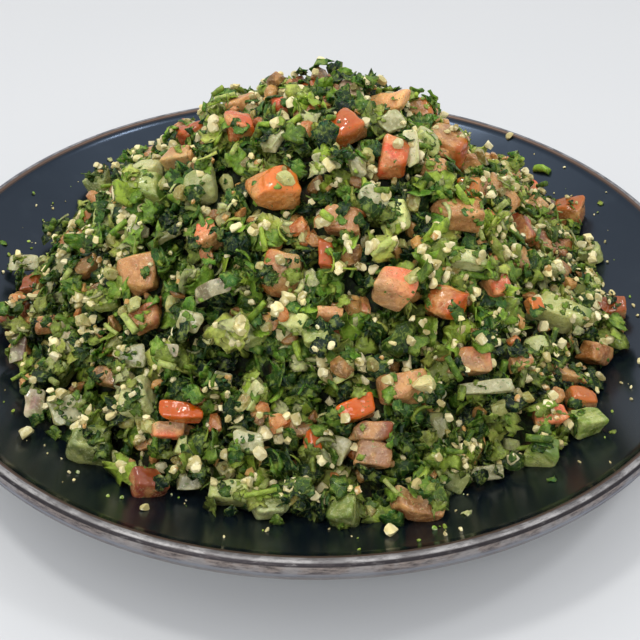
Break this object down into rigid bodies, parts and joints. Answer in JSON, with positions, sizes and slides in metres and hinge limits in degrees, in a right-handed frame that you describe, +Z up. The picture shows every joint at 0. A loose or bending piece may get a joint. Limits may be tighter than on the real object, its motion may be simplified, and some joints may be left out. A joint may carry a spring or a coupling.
{
  "type": "tabbouleh salad",
  "caption": "Heap of tabbouleh, chopped parsley with diced tomato, cucumber, onion and bulgur, on a shallow black coupe plate with a metallic rim.",
  "frame": {"origin": "centre of the plate's foot ring, on the surface it stands on", "axes": "+Z up through the middle of the plate, -Y towards the eater, +X to the eater's right"},
  "size_m": [0.2534, 0.2534, 0.0868],
  "materials": {
    "plate": "satin black glaze with a worn bronze and silver band round the rim",
    "salad": "moist chopped herbs, diced vegetables and soaked grain"
  },
  "bodies": {
    "root": {"plate": "plate", "salad": "salad"}
  },
  "joints": []
}
